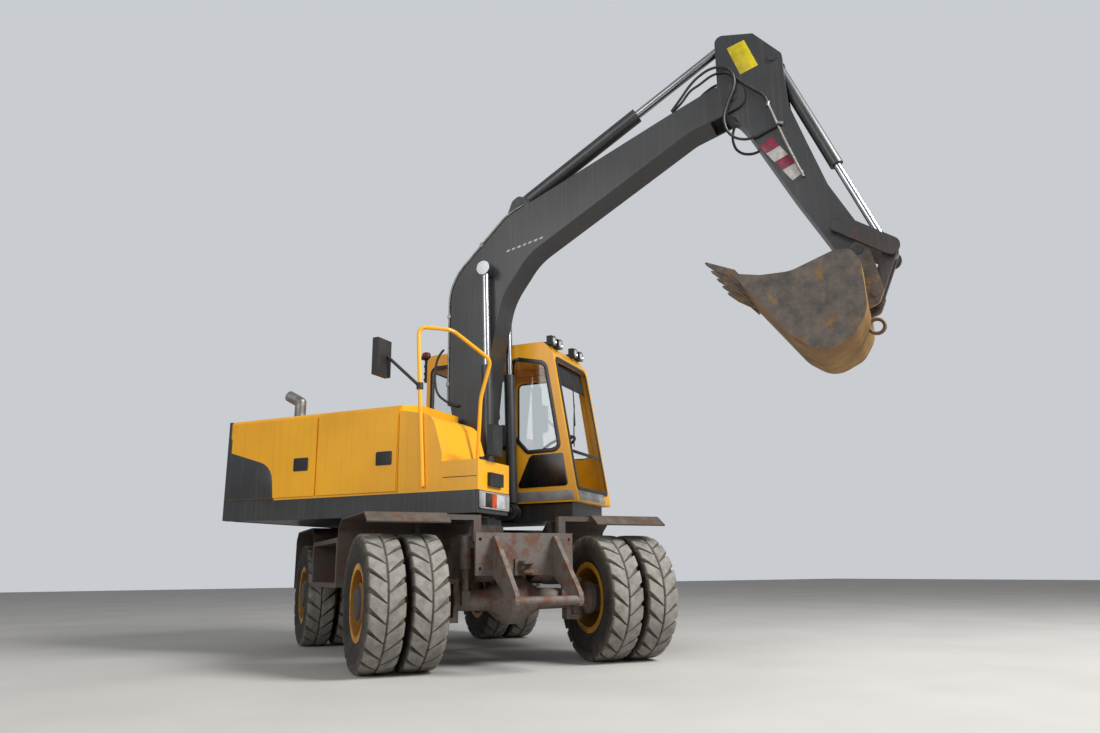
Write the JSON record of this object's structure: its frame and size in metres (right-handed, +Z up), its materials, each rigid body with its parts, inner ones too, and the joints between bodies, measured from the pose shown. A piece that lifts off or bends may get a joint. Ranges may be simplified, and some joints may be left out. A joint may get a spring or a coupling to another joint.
{
  "type": "wheeled excavator",
  "caption": "Wheeled excavator on twin tyres with slewing cab and engine housing, curved one-piece boom, arm, linkage and digging bucket, all jointed.",
  "frame": {"origin": "on the ground below the middle of the whole machine's box as it stands", "axes": "+X to the front of the undercarriage, +Y to its left, +Z up"},
  "size_m": [5.5191, 5.191, 5.7466],
  "materials": {
    "yellow_paint": "gloss",
    "charcoal_paint": "satin",
    "frame_steel": "dusty satin",
    "tyre_rubber": "dusty",
    "rod_chrome": "polished",
    "cab_glass": "clear",
    "bucket_steel": "rusted",
    "black_plastic": "grained",
    "seat_cloth": "woven"
  },
  "bodies": {
    "chassis": {"chassis_frame": "frame_steel", "drawbar_bracket": "frame_steel", "front_axle": "frame_steel", "rear_axle": "frame_steel", "axle_lock_rams": "frame_steel", "driveline": "frame_steel", "front_fenders": "charcoal_paint", "rear_fenders": "charcoal_paint", "side_steps": "charcoal_paint"},
    "knuckle_left": {"knuckle_left": "frame_steel"},
    "knuckle_right": {"knuckle_right": "frame_steel"},
    "wheels_front_left": {"rims_front_left": "yellow_paint", "tyres_front_left": "tyre_rubber"},
    "wheels_front_right": {"rims_front_right": "yellow_paint", "tyres_front_right": "tyre_rubber"},
    "wheels_rear_left": {"rims_rear_left": "yellow_paint", "tyres_rear_left": "tyre_rubber"},
    "wheels_rear_right": {"rims_rear_right": "yellow_paint", "tyres_rear_right": "tyre_rubber"},
    "upper": {"slew_platform": "charcoal_paint", "skirts": "charcoal_paint", "counterweight": "charcoal_paint", "engine_housing": "yellow_paint", "engine": "frame_steel", "tank": "yellow_paint", "front_box": "yellow_paint", "cab_shell": "yellow_paint", "cab_glass": "cab_glass", "seat": "seat_cloth", "cab_controls": "black_plastic", "handrails": "yellow_paint", "mirrors": "black_plastic", "exhaust": "charcoal_paint", "lamps": "black_plastic"},
    "cab_door": {"cab_door": "yellow_paint"},
    "engine_door_right": {"engine_door_right": "yellow_paint"},
    "pump_door_right": {"pump_door_right": "yellow_paint"},
    "engine_door_left": {"engine_door_left": "yellow_paint"},
    "hood_lid": {"hood_lid": "yellow_paint"},
    "boom": {"boom": "charcoal_paint", "boom_pipes": "frame_steel"},
    "boom_ram_tubes": {"boom_ram_tubes": "charcoal_paint"},
    "boom_ram_rods": {"boom_ram_rods": "rod_chrome"},
    "arm": {"arm": "charcoal_paint", "arm_pipes": "frame_steel"},
    "arm_ram_tube": {"arm_ram_tube": "charcoal_paint"},
    "arm_ram_rod": {"arm_ram_rod": "rod_chrome"},
    "bucket_ram_tube": {"bucket_ram_tube": "charcoal_paint"},
    "bucket_ram_rod": {"bucket_ram_rod": "rod_chrome"},
    "rocker": {"rocker": "charcoal_paint"},
    "push_link": {"push_link": "charcoal_paint"},
    "bucket": {"bucket": "bucket_steel"}
  },
  "joints": [
    {"name": "steer_left", "type": "hinge", "parent": "chassis", "child": "knuckle_left", "pos_m": [1.04, 0.06, 0.505], "axis": [0, 0, 1], "range_deg": [-30, 30]},
    {"name": "steer_right", "type": "hinge", "parent": "chassis", "child": "knuckle_right", "pos_m": [1.04, -1.06, 0.505], "axis": [0, 0, 1], "range_deg": [-30, 30]},
    {"name": "wheels_front_left_spin", "type": "hinge", "parent": "knuckle_left", "child": "wheels_front_left", "pos_m": [1.04, 0.61, 0.505], "axis": [0, 1, 0], "continuous": true},
    {"name": "wheels_rear_left_spin", "type": "hinge", "parent": "chassis", "child": "wheels_rear_left", "pos_m": [-1.76, 0.61, 0.505], "axis": [0, 1, 0], "continuous": true},
    {"name": "wheels_front_right_spin", "type": "hinge", "parent": "knuckle_right", "child": "wheels_front_right", "pos_m": [1.04, -1.61, 0.505], "axis": [0, 1, 0], "continuous": true},
    {"name": "wheels_rear_right_spin", "type": "hinge", "parent": "chassis", "child": "wheels_rear_right", "pos_m": [-1.76, -1.61, 0.505], "axis": [0, 1, 0], "continuous": true},
    {"name": "slew", "type": "hinge", "parent": "chassis", "child": "upper", "pos_m": [-0.625, -0.5, 1.15], "axis": [0, 0, 1], "continuous": true},
    {"name": "cab_door_hinge", "type": "hinge", "parent": "upper", "child": "cab_door", "pos_m": [-1.43314, 0.47524, 2.138], "axis": [0, 0, 1], "range_deg": [0, 100]},
    {"name": "engine_door_right_hinge", "type": "hinge", "parent": "upper", "child": "engine_door_right", "pos_m": [-1.04011, -2.57061, 1.761], "axis": [0, 0, -1], "range_deg": [0, 100]},
    {"name": "pump_door_right_hinge", "type": "hinge", "parent": "upper", "child": "pump_door_right", "pos_m": [-0.27467, -1.88141, 1.761], "axis": [0, 0, -1], "range_deg": [0, 100]},
    {"name": "engine_door_left_hinge", "type": "hinge", "parent": "upper", "child": "engine_door_left", "pos_m": [-2.72766, -0.6964, 1.761], "axis": [0, 0, 1], "range_deg": [0, 100]},
    {"name": "hood_lid_hinge", "type": "hinge", "parent": "upper", "child": "hood_lid", "pos_m": [-1.01961, -0.85531, 2.241], "axis": [-0.6691, 0.7431, 0], "range_deg": [0, 60]},
    {"name": "boom_lift", "type": "hinge", "parent": "upper", "child": "boom", "pos_m": [-0.41692, -0.31264, 1.66], "axis": [0.6691, -0.7431, 0], "range_deg": [-90, 12]},
    {"name": "boom_ram_swing", "type": "hinge", "parent": "upper", "child": "boom_ram_tubes", "pos_m": [-0.20884, -0.12529, 1.3], "axis": [0.6691, -0.7431, 0], "range_deg": [-84.2, 11.66]},
    {"name": "boom_ram_stroke", "type": "slide", "parent": "boom_ram_tubes", "child": "boom_ram_rods", "axis": [-0.0201, -0.0181, 0.9996], "range_m": [-0.6019, 0.0846]},
    {"name": "arm_swing", "type": "hinge", "parent": "boom", "child": "arm", "pos_m": [1.64902, 1.54754, 5.035], "axis": [-0.6691, 0.7431, 0], "range_deg": [-68, 38]},
    {"name": "arm_ram_swing", "type": "hinge", "parent": "boom", "child": "arm_ram_tube", "pos_m": [-0.03048, 0.0353, 4.43], "axis": [-0.6691, 0.7431, 0], "range_deg": [-4.58, 2.78]},
    {"name": "arm_ram_stroke", "type": "slide", "parent": "arm_ram_tube", "child": "arm_ram_rod", "axis": [0.6447, 0.5805, 0.4974], "range_m": [-0.6756, 0.3797]},
    {"name": "bucket_curl", "type": "hinge", "parent": "arm", "child": "bucket", "pos_m": [2.36987, 2.1966, 3.328], "axis": [-0.6691, 0.7431, 0], "range_deg": [-150, 20]},
    {"name": "bucket_ram_swing", "type": "hinge", "parent": "arm", "child": "bucket_ram_tube", "pos_m": [1.94257, 1.81185, 5.36], "axis": [-0.6691, 0.7431, 0], "range_deg": [-0.9, 3.5]},
    {"name": "bucket_ram_stroke", "type": "slide", "parent": "bucket_ram_tube", "child": "bucket_ram_rod", "axis": [0.2781, 0.2504, -0.9273], "range_m": [-0.7904, 0.1097]},
    {"name": "rocker_swing", "type": "hinge", "parent": "arm", "child": "rocker", "pos_m": [2.25989, 2.09756, 3.588], "axis": [-0.6691, 0.7431, 0], "range_deg": [-110, 15.1]},
    {"name": "push_link_swing", "type": "hinge", "parent": "bucket", "child": "push_link", "pos_m": [2.44047, 2.26016, 2.935], "axis": [-0.6691, 0.7431, 0], "range_deg": [-13.3, 96.5]}
  ],
  "couplings": [
    {"joint": "steer_right", "follows": "steer_left", "ratio": 1},
    {"joint": "boom_ram_swing", "follows": "boom_lift", "ratio": 0.93},
    {"joint": "boom_ram_stroke", "follows": "boom_lift", "m_per_rad": 0.38},
    {"joint": "arm_ram_swing", "follows": "arm_swing", "ratio": 0.06},
    {"joint": "arm_ram_stroke", "follows": "arm_swing", "m_per_rad": 0.565},
    {"joint": "bucket_ram_swing", "follows": "bucket_curl", "ratio": -0.02},
    {"joint": "bucket_ram_stroke", "follows": "bucket_curl", "m_per_rad": 0.3},
    {"joint": "rocker_swing", "follows": "bucket_curl", "ratio": 0.73},
    {"joint": "push_link_swing", "follows": "bucket_curl", "ratio": -0.64}
  ]
}
